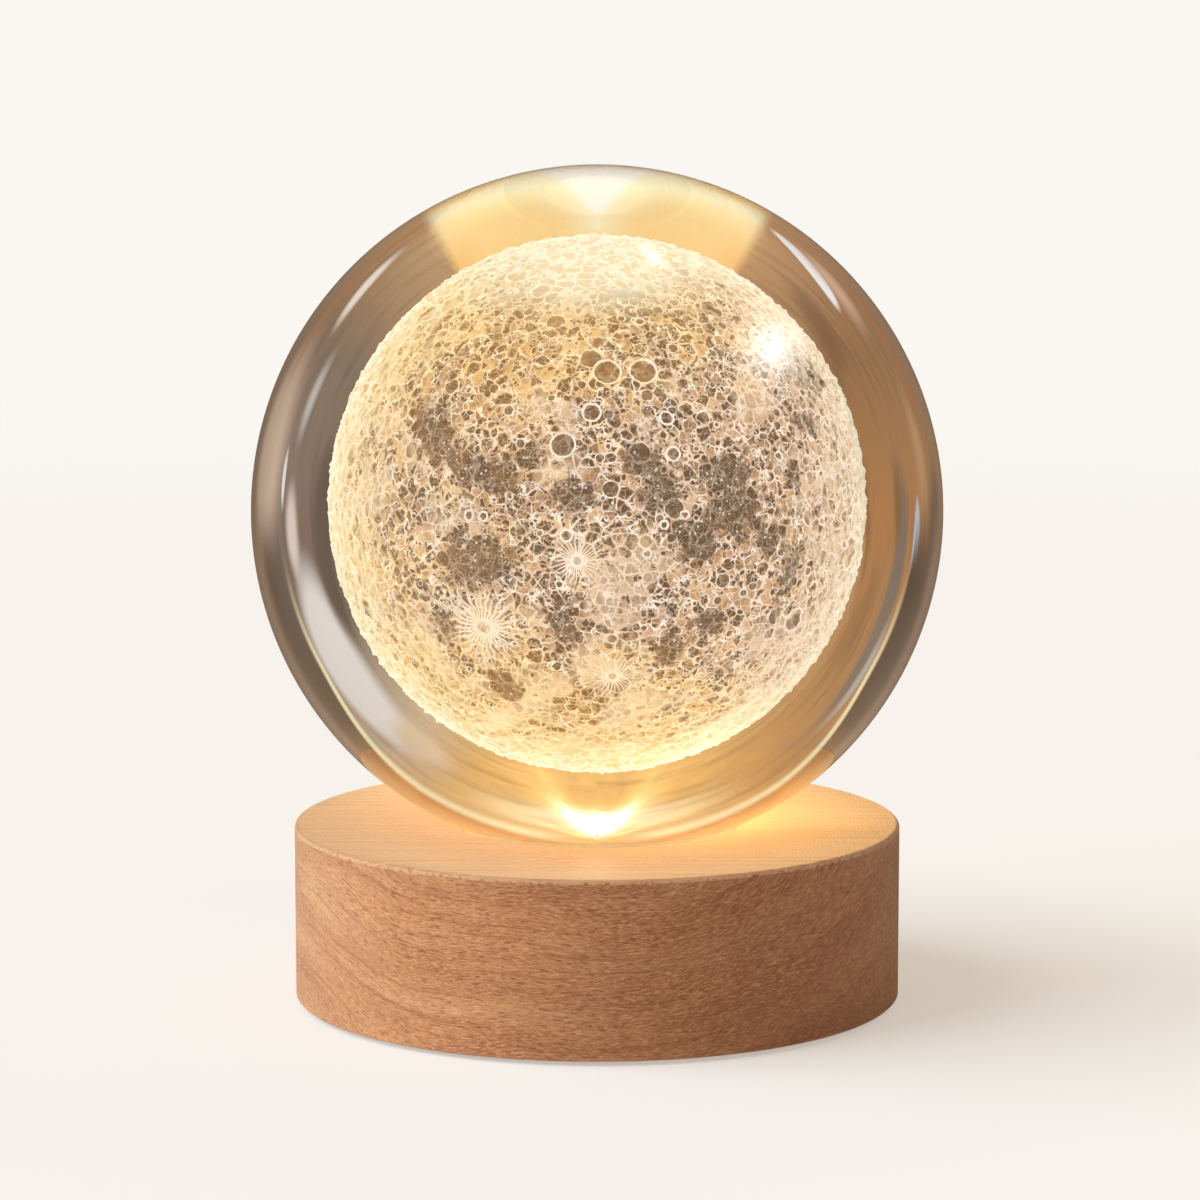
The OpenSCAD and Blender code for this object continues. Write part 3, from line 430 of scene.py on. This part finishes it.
def printed_board(name, mask, track, pad, pitch):
    """A printed board under solder mask: glossy, with tracks that show as slightly paler ridges and small tinned
    holes. pitch is the distance between tracks in millimetres."""
    material, n, mm = start(name)
    x, y, _ = n("SeparateXYZ", mm).node.outputs
    level = n("CombineXYZ", x, y)
    # the tracks run one way in one region and the other way in the next, and some regions have none
    region = n(CELLS, level, 0.16, out="Color")
    along = n(MIX, n(STEP, region, 0.48, 0.52), n("CombineXYZ", x), n("CombineXYZ", y))
    run = n("Math:PINGPONG", n("SeparateXYZ", along), pitch / 2)
    tracks = n(TIMES, n(STEP, run, 0.3 * pitch, 0.22 * pitch), n(STEP, region, 0.3, 0.34))
    tinned = n(STEP, n(CELLS, level, 0.3, out="Distance"), 0.14, 0.11)
    tone = n(MIX, tracks, mask, track)
    n("OutputMaterial", n("BsdfPrincipled", {
        "Base Color": n(MIX, tinned, tone, pad), "Metallic": tinned,
        "Roughness": n(STEP, n("TexNoise", mm, 2.0, 2.0), 0.3, 0.7, 0.22, 0.34), "IOR": 1.5,
        "Normal": n("Bump", {"Height": n(PLUS, tracks, tinned), "Distance": 0.03 * MM})}))
    return material


# ---- The moon and the ball ----

def seen_at(across, up):
    """The direction from the moon's middle to the spot that shows at this place from the front, in millimetres
    as the glass ball magnifies them."""
    off = math.hypot(across, up)
    ball = BALL_RADIUS / MM
    moon = MOON_RADIUS / MM
    bend = math.asin(off / ball) - math.asin(off / ball / CRYSTAL_IOR)
    tilt = math.asin(min(1, off / CRYSTAL_IOR / moon)) + bend
    toward = (CAMERA_PLACE - BALL_MIDDLE).normalized()
    right = Vector((1, 0, 0))
    top = right.cross(-toward).normalized()
    side = (right * across + top * up).normalized()
    return (toward * math.cos(tilt) + side * math.sin(tilt)).normalized()


# Seas seen from the front: place across and up, half sizes and turn, in magnified millimetres and degrees
SEAS = [
    (-18.0, 7.4, 4.6, 2.0, -40), (-14.8, 4.0, 2.2, 1.5, -20), (-11.2, 3.0, 2.7, 1.8, -30), (-7.6, 5.4, 1.8, 1.1, 10),
    (-13.2, -6.2, 4.3, 2.9, 10), (5.0, 4.6, 2.0, 2.3, 0), (6.9, 1.2, 2.4, 2.1, 0), (14.6, 3.4, 2.8, 2.4, 0),
    (15.0, -0.6, 4.2, 2.9, 20), (11.0, -4.0, 2.7, 2.7, 0), (19.0, -4.2, 1.9, 1.4, -30), (21.6, -7.6, 1.6, 2.6, -20),
    (23.6, 9.0, 2.2, 1.0, -30), (22.0, 3.0, 1.4, 1.4, 0), (12.4, -13.2, 1.7, 2.0, 0), (8.0, -15.8, 1.6, 2.2, 0),
    (-17.0, -14.0, 1.4, 1.9, 0), (-10.4, -20.2, 1.8, 1.9, 0), (-3.8, -12.8, 1.5, 2.6, 0),
    (24.2, 15.6, 0.8, 2.8, 30), (-2.8, 1.0, 2.6, 1.6, 0), (3.4, 23.6, 2.1, 1.0, -20)]
# Seas on the sides and the back, which the photograph doesn't show: direction, and half size in millimetres
FAR_SEAS = [
    ((1, 0.5, 0.2), 5.5), ((0.7, 0.9, -0.2), 3.6), ((-0.9, 0.6, 0.3), 4.6), ((-1, 0.15, -0.3), 3.2),
    ((0.1, 1, 0.35), 6.2), ((-0.3, 1, -0.15), 4.2), ((0.4, 1, -0.55), 3.0), ((0.9, -0.1, 0.6), 2.6)]
# Ring craters seen from the front: place across and up, and radius
CRATERS = [
    (1.1, 14.7, 1.9), (5.1, 14.8, 1.9), (-3.8, 6.6, 1.75), (14.6, -3.7, 0.55), (9.7, -1.1, 0.6), (7.4, -2.2, 0.6),
    (5.5, -5.4, 0.65), (-9.7, 1.0, 0.6), (7.7, 9.6, 1.0), (8.4, 5.6, 1.0), (-14.2, -1.2, 0.75), (-12.6, -1.3, 0.7),
    (-3.4, -3.4, 0.85), (20.3, 5.4, 0.7), (-0.6, 10.2, 1.3), (1.7, -19.1, 0.8)]
# Ray craters seen from the front and elsewhere: place or direction, and how far their rays reach
STARS = [(1.7, -19.1, 4.4), (-12.6, -13.7, 7.4), (-2.2, -6.2, 4.4), (-11.0, -24.2, 4.0)]
FAR_STARS = [((0.5, 0.8, -0.4), 5.0), ((-0.8, 0.5, 0.1), 4.4)]
# The reach that the rays are drawn for, and a distance that is past all craters and rays, in millimetres
DRAWN_REACH = 4.4
FAR_OFF = 9.0


def engraved_moon():
    """The engraved globe: a fine sphere with a rough skin, bowl craters and raised rims. The real one is a cloud of
    tiny cracks that lets most light past, so it casts no shadow."""
    bm = bmesh.new()
    bmesh.ops.create_icosphere(bm, subdivisions=GLOBE_STEPS, radius=MOON_RADIUS)
    made = piece_from(bm, "engraved_globe", laser_engraving())
    mesh = made.data
    count = len(mesh.vertices)
    unit = np.zeros(count * 3)
    mesh.vertices.foreach_get("co", unit)
    unit = unit.reshape(-1, 3) / MOON_RADIUS
    draw = np.random.default_rng(7)
    moon = MOON_RADIUS / MM

    def flat_round(middle):
        """Every vertex's place across and up from a middle, in millimetres, and whether it is on that half."""
        across = Vector((0, 0, 1)).cross(middle).normalized()
        up = middle.cross(across)
        return unit @ np.array(across) * moon, unit @ np.array(up) * moon, unit @ np.array(middle) > 0

    # how deep in a sea each vertex is, from 0 to 1
    sea = np.zeros(count)
    spots = [(seen_at(a, u), w, t, r) for a, u, w, t, r in SEAS]
    spots += [(Vector(way).normalized(), size * 1.3, size, 25) for way, size in FAR_SEAS]
    for middle, wide, tall, turn in spots:
        x, z, near = flat_round(middle)
        c, s = math.cos(math.radians(turn)), math.sin(math.radians(turn))
        off = np.hypot((x * c + z * s) / wide, (z * c - x * s) / tall) * CRYSTAL_IOR
        sea = np.maximum(sea, np.clip(1.2 - 0.56 * off, 0, 1) * near)
    # how far it is outside the nearest ring crater's rim, less than 0 inside. Chance places
    # more of them on the sides and the back
    ring = np.full(count, FAR_OFF)
    tries = 46
    ways, radii = draw.normal(0, 1, (tries, 3)), draw.uniform(0.5, 1.5, tries)
    rings = [(seen_at(a, u), r / CRYSTAL_IOR) for a, u, r in CRATERS]
    rings += [(Vector(way).normalized(), radius) for way, radius in zip(ways, radii) if way[1] > -0.4]
    for middle, radius in rings:
        x, z, near = flat_round(middle)
        ring = np.where(near, np.minimum(ring, np.hypot(x, z) - radius), ring)
    # its offset from the nearest ray crater, scaled as if all rays reached equally far
    star = np.full((count, 3), FAR_OFF)
    nearest = np.full(count, FAR_OFF)
    stars = [(seen_at(a, u), r) for a, u, r in STARS] + [(Vector(way).normalized(), r) for way, r in FAR_STARS]
    for middle, reach in stars:
        x, z, near = flat_round(middle)
        place = np.stack([x, z, np.zeros(count)], axis=1) / reach * DRAWN_REACH
        off = np.hypot(x, z) / reach * DRAWN_REACH
        closer = near & (off < nearest)
        nearest[closer] = off[closer]
        star[closer] = place[closer]
    for name, kind, field, values in (("sea", "FLOAT", "value", sea), ("rim", "FLOAT", "value", ring),
                                      ("star", "FLOAT_VECTOR", "vector", star)):
        layer = mesh.attributes.new(name, kind, "POINT")
        layer.data.foreach_set(field, values.astype(np.float32).reshape(-1))
    # in millimetres: rims stand up 0.12, bowls sink 0.16, and the cracks' ends make the skin rough by 0.1
    relief = 0.12 * np.exp(-(ring / 0.18) ** 2) - 0.16 * np.clip(-ring / 0.4, 0, 1)
    relief += draw.normal(0, 0.1, count).clip(-0.22, 0.22)
    mesh.vertices.foreach_set("co", (unit * (moon + relief)[:, None] * MM + np.array(MOON_MIDDLE)).reshape(-1))
    mesh.update()
    made.visible_shadow = False
    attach(made, "ball")
    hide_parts("engraved_moon")


def crystal_ball():
    """The ball is one solid piece of glass round the engraving, so it has no hollow for it."""
    bm = bmesh.new()
    bmesh.ops.create_icosphere(
        bm, subdivisions=GLOBE_STEPS, radius=BALL_RADIUS, matrix=Matrix.Translation(BALL_MIDDLE))
    made = piece_from(bm, "crystal_globe", optical_crystal())
    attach(made, "ball")
    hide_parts("crystal_ball")


# ---- The stage ----

def pale_floor():
    """A matt pale floor that keeps the shadow, fades into the backdrop and can be seen through from below. Half of
    what the camera sees of it is plain light, so that it is as pale as the backdrop. Glass and gloss show the
    world's room and table instead of it."""
    material, n, mm = start("Pale floor")
    lift = n(TIMES, n("LightPath", out="Is Camera Ray"), 0.5)
    lifted = n("MixShader", lift, n("BsdfDiffuse", "F8FBFF"), n("Emission", "FAF1E6", 1.0))
    gone = n(MOST, n(STEP, n(LENGTH, mm), 300, 800), n("NewGeometry", out="Backfacing"))
    n("OutputMaterial", n("MixShader", gone, lifted, n("BsdfTransparent")))
    bm = bmesh.new()
    bmesh.ops.create_circle(bm, cap_ends=True, segments=96, radius=1.0)
    floor = piece_from(bm, "floor", material, smooth=False)
    floor.visible_transmission = floor.visible_glossy = False


def bend_at(share):
    """How far, in degrees, the ball turns the sight that enters it at this share of its radius from its middle."""
    spread = math.asin(share * BALL_RADIUS / (CAMERA_PLACE - BALL_MIDDLE).length)
    return math.degrees(2 * (math.asin(share) - math.asin(share / CRYSTAL_IOR)) - spread)


# The room that shows in the ball, drawn round the line of sight. First the side of the ball that shows it: 0 degrees
# at the top to 180 at the bottom, less than 0 on the left. Then the share of the radius, and half the length in
# degrees, half the width as a share, a turn, how soft the edge is, and the colour.
ROOM_SHAPES = [
    (-122, 0.862, 27, 0.062, 0, 0.45, "E0D8D0"), (-143, 0.85, 10, 0.05, 0, 0.7, "D6BE9E"),
    (-97, 0.79, 27, 0.045, 0, 0.5, "4C3828"), (-94, 0.885, 12, 0.022, 0, 0.7, "DCC8BC"),
    (-80, 0.962, 28, 0.035, 0, 0.65, "D0B6A0"), (-84, 0.91, 7, 0.006, 0, 0.6, "E4E6EA"),
    (-68, 0.885, 12, 0.016, 0, 0.9, "B8B4B0"), (-46, 0.932, 12, 0.013, 12, 0.7, "FFF0E4"),
    (-46, 0.966, 30, 0.008, 0, 0.8, "B0703E"), (108, 0.885, 34, 0.022, 0, 0.5, "7E6E60"),
    (122, 0.9, 16, 0.012, 0, 0.8, "B4AEA4"), (88, 0.87, 12, 0.016, 0, 0.8, "87613E"),
    (95, 0.926, 9, 0.010, 0, 0.5, "CFDDF0"), (41, 0.935, 12, 0.011, -30, 0.3, "FFFFFF"),
    (46, 0.945, 14, 0.02, -20, 0.9, "DDB49A"), (50, 0.84, 15, 0.035, -14, 0.8, "805A3E"),
    (80, 0.945, 16, 0.02, 0, 0.9, "C09468"), (92, 0.978, 14, 0.018, 0, 0.7, "54463A"),
    (62, 0.965, 30, 0.008, 0, 0.8, "A8683A")]


def room(n, clock, bend):
    """The warm room that the glass bends into view, drawn by the side of the ball that shows it and by how far the
    glass bends it, both in degrees. clock is that side: 0 at the top, more on the right and less on the left."""
    apart = n(SIZE_OF, clock)
    level = n(OVER, apart, 180.0)
    left = n("ValToRGB", level, stops=[
        (0.0, "E8B878"), (0.2, "B08A64"), (0.33, "7A6450"), (0.57, "66503E"), (0.68, "8C7A66"), (0.78, "C4AE90"),
        (0.86, "D8AA6A"), (1.0, "E6B56C")])
    right = n("ValToRGB", level, stops=[
        (0.0, "E8B878"), (0.2, "B4845A"), (0.33, "98704A"), (0.5, "B07C4C"), (0.66, "B08050"), (0.78, "BC8A56"),
        (0.86, "D0A060"), (1.0, "E6B56C")])
    tone = n(MIX, n(STEP, clock, -8, 8), left, right)
    # a bright line close to the bottom
    bottom = n(TIMES, n(STEP, apart, 150, 176), n(STEP, n(SIZE_OF, n(MINUS, bend, bend_at(0.9))), 8, 1))
    tone = n(MIX, bottom, tone, "FFF2C4")
    streaks = n("TexNoise", n("CombineXYZ", n(TIMES, clock, 0.03), n(TIMES, bend, 0.35)), 1.0, 4.0, 0.6)
    shade = n("ValToRGB", streaks, stops=[(0.3, "5A5A5A"), (0.5, "FFFFFF"), (0.7, "FFFFFF")])
    tone = n(MIX, 0.4, tone, shade, blend_type="MULTIPLY")
    where = n("CombineXYZ", clock, bend)
    for at, share, wide, tall, turn, soft, code in ROOM_SHAPES:
        thick = (bend_at(share + tall) - bend_at(share - tall)) / 2
        local = n("Mapping:TEXTURE", where, (at, bend_at(share), 0), (0, 0, math.radians(turn)), (wide, thick, 1))
        tone = n(MIX, n(STEP, n("TexGradient:SPHERICAL", local, out="Fac"), 0.0, soft), tone, code)
    # beyond a bright thin line the rim turns dark, and orange-brown toward the base
    border = n(STEP, apart, 118, 150, bend_at(0.918), bend_at(0.953))
    dark_part = n(TIMES, n(STEP, apart, 86, 102), n(STEP, apart, 178, 168))
    past = n(MINUS, bend, border)
    near_base = n(STEP, apart, 128, 148)
    rim = n(MIX, n(STEP, bend, bend_at(0.962), bend_at(0.985)),
            n(MIX, near_base, "3E3024", "D08A4A"), n(MIX, near_base, "8A7464", "E8A860"))
    tone = n(MIX, n(TIMES, n(STEP, past, 0.0, 1.2), dark_part), tone, rim)
    line = n(STEP, n(SIZE_OF, n(PLUS, past, 0.8)), n(STEP, apart, 120, 165, 1.3, 5.0), 0.3)
    line = n(TIMES, n(TIMES, line, dark_part), n(STEP, apart, 96, 126))
    tone = n(MIX, n(TIMES, line, 0.9), tone, "FFF6C4")
    # the lamp's own light fills a wedge at the top with gold, orange at its ends and with a white fan in its middle
    wedge = n("ValToRGB", n(STEP, bend, bend_at(0.77), bend_at(0.99)), stops=[
        (0.0, "FDD28A"), (0.3, "FDDA94"), (0.55, "FFE8A8"), (0.75, "FFF8CC"), (0.93, "FFF6C4"), (1.0, "FFDC98")])
    ends = n(TIMES, n(STEP, apart, 22, 30), n(STEP, bend, bend_at(0.9), bend_at(0.8)))
    wedge = n(MIX, n(TIMES, ends, 0.5), wedge, "FFB45C")
    tone = n(MIX, n(STEP, apart, 31.5, 28.5), tone, wedge)
    beyond = n(MOST, n(MINUS, bend, bend_at(0.85)), 0.0)
    fan_width = n(TIMES, n("Math:POWER", beyond, 0.75), 0.66)
    halo = n(STEP, n(MINUS, n(TIMES, fan_width, 1.7), apart), -9.0, 4.0)
    tone = n(MIX, n(TIMES, halo, n(STEP, bend, bend_at(0.76), bend_at(0.83))), tone, "FFF6CC")
    fan = n(STEP, n(MINUS, fan_width, apart), -1.6, 1.2)
    tone = n(MIX, n(TIMES, fan, n(STEP, beyond, 0, 3)), tone, "FFFDF2")
    # glass passes less light at its rim, so the wedge is brighter there to show as bright
    more = n(TIMES, n(STEP, bend, bend_at(0.88), bend_at(0.985)), n(STEP, apart, 31, 24, 0.0, 0.4))
    tone = n("VectorMath:SCALE", tone, n(PLUS, 1.0, more))
    # what the photograph's camera can't see through the ball is plain and brown
    return n(MIX, n(STEP, bend, bend_at(1.0), 125), tone, "A08468")


def studio():
    """The world: a pale backdrop for the camera, soft even light, and what the glass bends into view and mirrors. Its
    places are fixed round the lamp, in line with the photograph's sight, and don't turn with the camera."""
    world = bpy.data.worlds.new("Studio")
    bpy.context.scene.world = world
    world.use_nodes = True
    world.node_tree.nodes.clear()
    n = functools.partial(add, world.node_tree)
    way = n("Mapping:POINT", n("TexCoord", out="Generated"), (0, 0, 0), (SIGHT_TILT, 0, 0))
    x, y, z = n("SeparateXYZ", way).node.outputs
    # the ball turns what it shows upside down and left to right
    bend = n("Math:DEGREES", n("Math:ARCCOSINE", y))
    clock = n("Math:DEGREES", n("Math:ARCTAN2", n(TIMES, x, -1.0), n(TIMES, z, -1.0)))
    # the room is lighter on the left, the pale table lies below, and a warm ceiling is overhead
    mirrored = n(MIX, n(STEP, x, -0.95, -0.55), "F2EAE0", "7C6A5A")
    mirrored = n(MIX, n(STEP, z, -0.05, -0.4, 0.0, 0.3), mirrored, "DCCFC2")
    mirrored = n(MIX, n(STEP, z, 0.5, 0.75), mirrored, "F0DAB0")
    path = n("LightPath").node.outputs
    lit = n(MIX, path["Is Glossy Ray"], "B09A82", mirrored)
    lit = n(MIX, path["Is Transmission Ray"], lit, room(n, clock, bend))
    n("OutputWorld", n("Background", n(MIX, path["Is Camera Ray"], lit, "FAF7F2"), 1.0))


def lamp(name, kind, power, code, size, place=(0, 0, 0), aim=(0, 0, 0)):
    """Adds one lamp, turned to its aim. size is a radius, a disc's diameter or a sun's angle."""
    data = bpy.data.lights.new(name, kind)
    data.energy = power
    data.color = srgb(code)[:3]
    if kind == "AREA":
        data.shape = "DISK"
        data.size = size
    elif kind == "SUN":
        data.angle = size
    else:
        data.shadow_soft_size = size
    made = bpy.data.objects.new(name, data)
    made.location = place
    made.rotation_euler = (Vector(aim) - Vector(place)).to_track_quat("-Z", "Y").to_euler()
    bpy.context.scene.collection.objects.link(made)
    return made


def highlight(name, power, toward, wide, tall):
    """A lamp that only shows in reflections, as a soft white spot on the ball that fades to its edge. toward is its
    direction from the ball. It is wider than tall, because the ball squeezes it to a round spot."""
    away, fade = 0.5, 2.4
    spark = lamp(name, "AREA", power, "FFFFFF", wide, BALL_MIDDLE + toward * away, BALL_MIDDLE)
    spark.data.shape = "ELLIPSE"
    spark.data.size_y = tall
    spark.visible_diffuse = spark.visible_transmission = False
    spark.data.use_nodes = True
    spark.data.node_tree.nodes.clear()
    n = functools.partial(add, spark.data.node_tree)
    # Parametric runs from 0 to 1 across the lamp, so its middle is at a half and its edge a half from there
    off = n("VectorMath:DISTANCE", n("NewGeometry", out="Parametric"), (0.5, 0.5, 0))
    n("OutputLight", n("Emission", {"Strength": n("Math:POWER", n("MapRange:LINEAR", off, 0.5, 0.0), fade)}))


def lamps():
    """A large soft lamp from the left, the light that leaves the ball near its seat, and the highlights."""
    key = lamp("key", "SUN", 3.85, "E9F6FF", math.radians(64), aim=(0.85, 0.15, -0.54))
    key.visible_glossy = key.visible_transmission = False
    # how strong, and how far right, back and above the wood, in millimetres
    for name, power, right, back, height in (("seat_glow", 0.038, 10, 0, 12), ("far_glow", 0.03, 0, 12, 10)):
        place = Vector((right * MM, back * MM, WOOD_TOP + height * MM))
        glow = lamp(name, "POINT", power, "F8F4C4", 3 * MM, place)
        glow.visible_glossy = glow.visible_transmission = False
    highlight("window_light", 4.6, Vector((0.722, -0.08, 0.686)), 0.4, 0.225)
    highlight("ceiling_light", 0.35, Vector((0.21, 0.135, 0.968)), 0.16, 0.075)


def camera():
    """The photograph's camera."""
    data = bpy.data.cameras.new("camera")
    data.sensor_width = 36
    data.lens = CAMERA_LENS
    data.shift_x = CAMERA_SHIFT
    made = bpy.data.objects.new("camera", data)
    made.location = CAMERA_PLACE
    made.rotation_euler = (math.pi / 2 - CAMERA_PITCH, 0, 0)
    bpy.context.scene.collection.objects.link(made)
    bpy.context.scene.camera = made


bpy.context.scene.view_settings.view_transform = "Standard"
camera()
studio()
pale_floor()
lamps()
engraved_moon()
crystal_ball()
# What each of the record's slots is made of
FINISHES = {
    "beech": beech_turned(),
    "frosted_window": frosted_acrylic(),
    "led_phosphor": led_phosphor(),
    # soft, a little milky and satin
    "clear_silicone": clear_cast("Silicone, moulded clear", "F6EFE2", "E8DDCA", 0.22, 1.41, 0.02),
    # hard, clear and glossy
    "led_resin": clear_cast("LED resin, cast", "FFF8E8", "FFF0D4", 0.05, 1.5, 0.01),
    # bright, so that it throws the LEDs' light up, with a soft gloss
    "white_moulding": moulded("White ABS, moulded", "E8E4DC", "F6F3EC", 0.3, 0.004, 0.22, 1.54),
    # dull black, with a faint sparkle of its filler
    "black_epoxy": moulded("Black epoxy, moulded", "17181A", "26272A", 0.12, 0.004, 0.5, 1.55),
    # dark brown with the fine even grain of a spark-eroded mould, to go with the wood
    "brown_moulding": moulded("Brown ABS, moulded with a fine grain", "40261A", "553425", 0.22, 0.012, 0.4, 1.54),
    # warm white with a satin skin
    "ivory_moulding": moulded("Ivory nylon, moulded", "DDD3BA", "ECE4CF", 0.4, 0.005, 0.35, 1.53),
    # black with a fine dull grain that hides fingerprints
    "black_cover": moulded("Black ABS, moulded with a fine grain", "1C1B1B", "2B2A29", 0.24, 0.014, 0.48, 1.54),
    # soft black that shines only where it is pressed
    "foot_rubber": moulded("Black rubber, moulded", "1E1D1C", "302E2C", 0.35, 0.012, 0.66, 1.52),
    # closed-cell foam: pale grey with visible pores and no shine
    "foam_tape": moulded("Grey foam tape, die-cut", "8C8C88", "B6B6B0", 0.3, 0.06, 0.82, 1.45),
    # extruded, so the skin is smooth, with a soft gloss
    "red_wire": moulded("Red silicone insulation, extruded", "A61F18", "C4342A", 0.5, 0.004, 0.34, 1.43),
    "black_wire": moulded("Black silicone insulation, extruded", "191919", "2A2A2A", 0.5, 0.004, 0.34, 1.43),
    # tan ceramic bodies with a fine fired grain
    "chip_ceramic": moulded("Ceramic, pressed and fired", "A6825C", "C09C74", 0.08, 0.004, 0.38, 1.6),
    # grey-white, with a faint yellow-blue passivation in patches
    "steel_screw": worked_metal("Steel, zinc plated", "C2C2BC", "CFCBBA", (4, 4, 1.2), 0.3, 0.006),
    # bright, with fine lines along its drawing direction
    "socket_steel": worked_metal("Stainless steel, drawn", "C9C8C5", "BDBBB6", (5, 0.4, 5), 0.26, 0.006),
    # silver-grey foil with soft creases
    "cell_pouch": worked_metal("Aluminium foil, laminated", "C4C6C8", "B4B7BA", (0.8, 0.8, 0.8), 0.5, 0.05, 1.5),
    # glossy dark green over paler tracks, with bright tinned holes
    "circuit_board": printed_board("Green solder mask on glass fibre", "0E4F2C", "1F6B3E", "D8D4C8", 0.9),
    # glossy white, so that it throws the LEDs' light up
    "led_board": printed_board("White solder mask on aluminium", "E9E8E2", "DCDAD2", "D2CEC2", 2.4),
}
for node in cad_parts.values():
    for slot in node.material_slots:
        if slot.material and slot.material.name in FINISHES:
            slot.material = FINISHES[slot.material.name]
